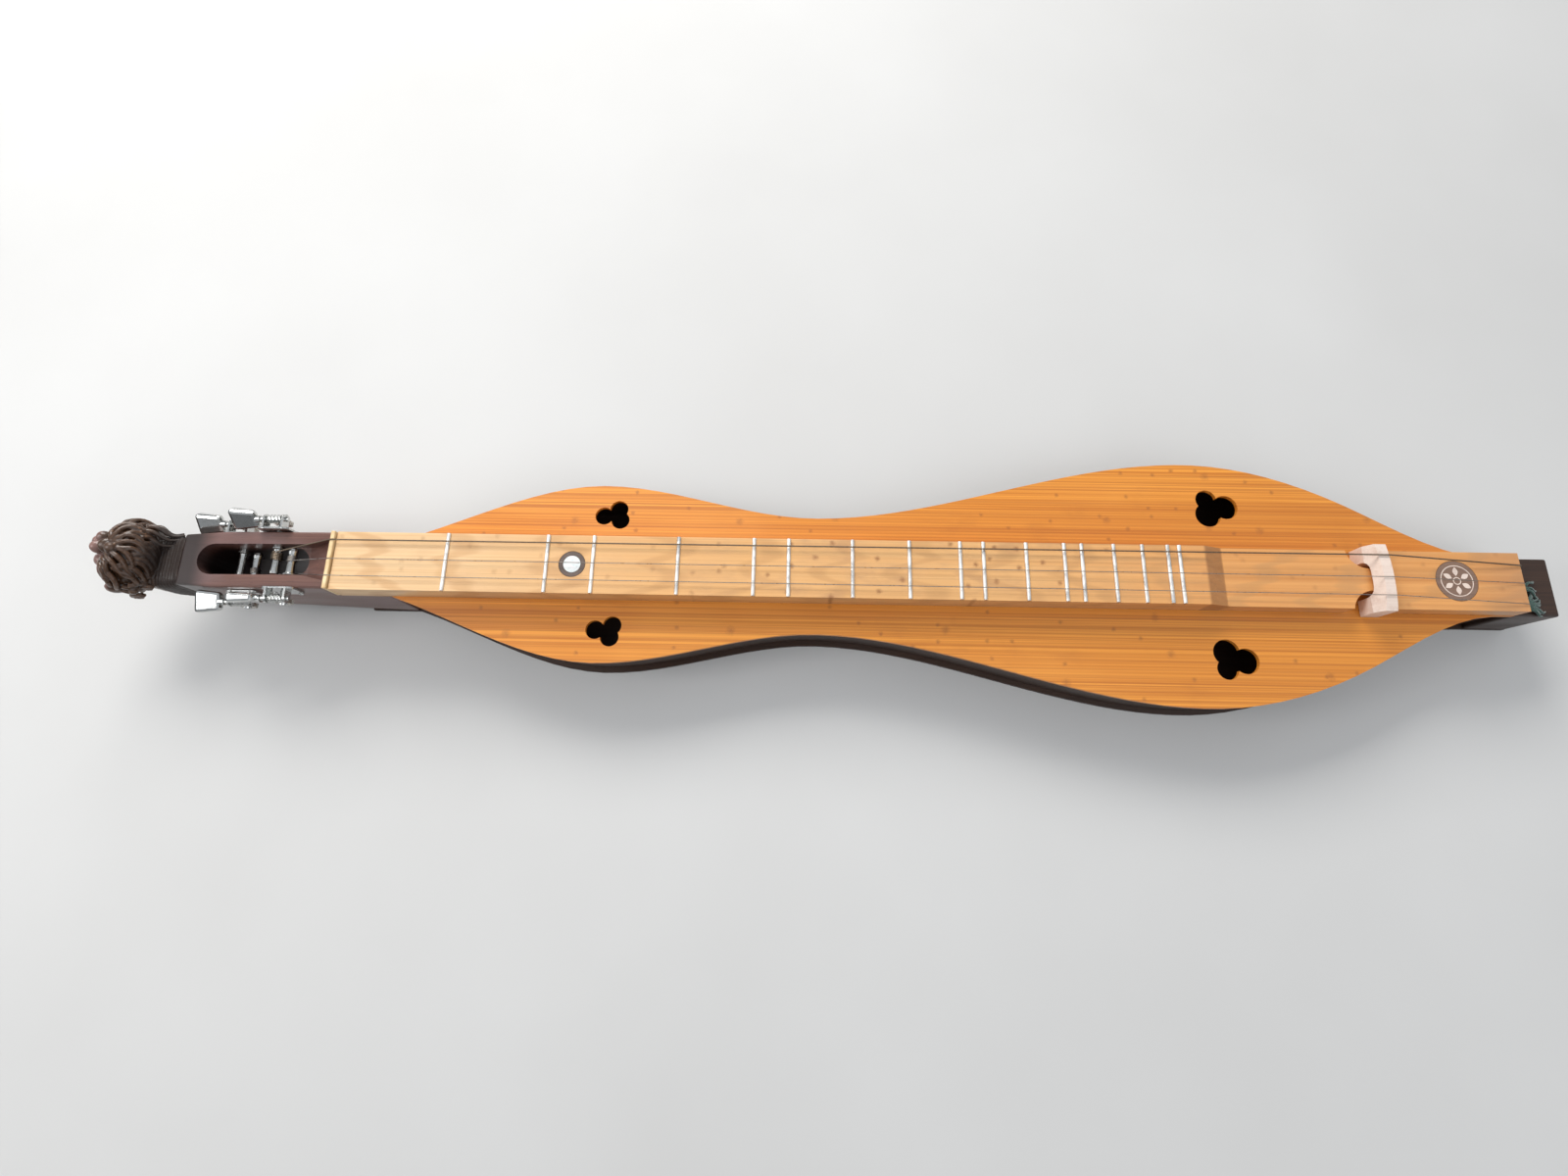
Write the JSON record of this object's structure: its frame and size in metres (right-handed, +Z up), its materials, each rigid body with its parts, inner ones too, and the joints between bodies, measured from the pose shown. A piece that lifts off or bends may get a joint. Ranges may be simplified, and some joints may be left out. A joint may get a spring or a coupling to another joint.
{
  "type": "mountain dulcimer",
  "caption": "Hourglass-bodied mountain dulcimer with a raised fretted fingerboard, cut-through bridge, geared tuners and a carved lion's head.",
  "frame": {"origin": "centre of the footprint (bounding box) on the flat back the instrument lies on", "axes": "+X from the carved head to the tail, +Y away from the player, +Z up through the fretboard"},
  "size_m": [0.971, 0.17, 0.077],
  "materials": {
    "body_walnut": "satin varnish",
    "pegbox_walnut": "satin varnish",
    "carved_walnut": "gloss varnish",
    "soundboard_cedar": "satin varnish",
    "fretboard_wood": "satin oil",
    "bridge_wood": "bare",
    "nut_bone": "smooth",
    "marker_ring_wood": "satin",
    "pearl": "polished",
    "inlay_wood": "satin",
    "brace_spruce": "bare",
    "fret_wire": "polished",
    "wound_string": "wound",
    "plain_string": "drawn",
    "pin_steel": "plain",
    "tuner_plate": "plated",
    "tuner_post": "plated",
    "tuner_gear": "cut",
    "tuner_worm": "plated",
    "tuner_button": "plated"
  },
  "bodies": {
    "body": {"back_board": "body_walnut", "rib_near": "body_walnut", "rib_far": "body_walnut", "tail_block": "body_walnut", "pegbox": "pegbox_walnut", "lion_scroll": "carved_walnut", "soundboard": "soundboard_cedar", "fretboard": "fretboard_wood", "bridge": "bridge_wood", "nut": "nut_bone", "marker_ring": "marker_ring_wood", "marker_dot": "pearl", "tail_inlay": "inlay_wood", "back_brace": "brace_spruce", "head_brace": "brace_spruce", "tail_brace": "brace_spruce", "fret_01": "fret_wire", "fret_02": "fret_wire", "fret_03": "fret_wire", "fret_04": "fret_wire", "fret_05": "fret_wire", "fret_06": "fret_wire", "fret_07": "fret_wire", "fret_08": "fret_wire", "fret_09": "fret_wire", "fret_10": "fret_wire", "fret_11": "fret_wire", "fret_12": "fret_wire", "fret_13": "fret_wire", "fret_14": "fret_wire", "fret_15": "fret_wire", "fret_16": "fret_wire", "fret_17": "fret_wire", "bass_string": "wound_string", "middle_string": "plain_string", "melody_string": "plain_string", "hitch_pin_1": "pin_steel", "tuner_plate_1": "tuner_plate", "hitch_pin_2": "pin_steel", "tuner_plate_2": "tuner_plate", "hitch_pin_3": "pin_steel", "tuner_plate_3": "tuner_plate", "hitch_pin_4": "pin_steel", "tuner_plate_4": "tuner_plate"},
    "knob_1": {"tuner_worm_1": "tuner_worm", "tuner_button_1": "tuner_button"},
    "post_1": {"tuner_post_1": "tuner_post", "tuner_gear_1": "tuner_gear"},
    "knob_2": {"tuner_worm_2": "tuner_worm", "tuner_button_2": "tuner_button"},
    "post_2": {"tuner_post_2": "tuner_post", "tuner_gear_2": "tuner_gear"},
    "knob_3": {"tuner_worm_3": "tuner_worm", "tuner_button_3": "tuner_button"},
    "post_3": {"tuner_post_3": "tuner_post", "tuner_gear_3": "tuner_gear"},
    "knob_4": {"tuner_worm_4": "tuner_worm", "tuner_button_4": "tuner_button"},
    "post_4": {"tuner_post_4": "tuner_post", "tuner_gear_4": "tuner_gear"}
  },
  "joints": [
    {"name": "knob_1_turn", "type": "hinge", "parent": "body", "child": "knob_1", "pos_m": [-0.4, 0.0272, 0.0515], "axis": [1, 0, 0], "continuous": true},
    {"name": "post_1_turn", "type": "hinge", "parent": "body", "child": "post_1", "pos_m": [-0.4, 0, 0.0435], "axis": [0, 1, 0], "continuous": true},
    {"name": "knob_2_turn", "type": "hinge", "parent": "body", "child": "knob_2", "pos_m": [-0.3899, -0.0272, 0.0515], "axis": [1, 0, 0], "continuous": true},
    {"name": "post_2_turn", "type": "hinge", "parent": "body", "child": "post_2", "pos_m": [-0.3899, 0, 0.0435], "axis": [0, 1, 0], "continuous": true},
    {"name": "knob_3_turn", "type": "hinge", "parent": "body", "child": "knob_3", "pos_m": [-0.3689, 0.0272, 0.063], "axis": [1, 0, 0], "continuous": true},
    {"name": "post_3_turn", "type": "hinge", "parent": "body", "child": "post_3", "pos_m": [-0.3689, 0, 0.055], "axis": [0, 1, 0], "continuous": true},
    {"name": "knob_4_turn", "type": "hinge", "parent": "body", "child": "knob_4", "pos_m": [-0.3584, -0.0272, 0.063], "axis": [1, 0, 0], "continuous": true},
    {"name": "post_4_turn", "type": "hinge", "parent": "body", "child": "post_4", "pos_m": [-0.3584, 0, 0.055], "axis": [0, 1, 0], "continuous": true}
  ],
  "couplings": [
    {"joint": "post_1_turn", "follows": "knob_1_turn", "ratio": -0.071429},
    {"joint": "post_2_turn", "follows": "knob_2_turn", "ratio": -0.071429},
    {"joint": "post_3_turn", "follows": "knob_3_turn", "ratio": -0.071429},
    {"joint": "post_4_turn", "follows": "knob_4_turn", "ratio": -0.071429}
  ]
}
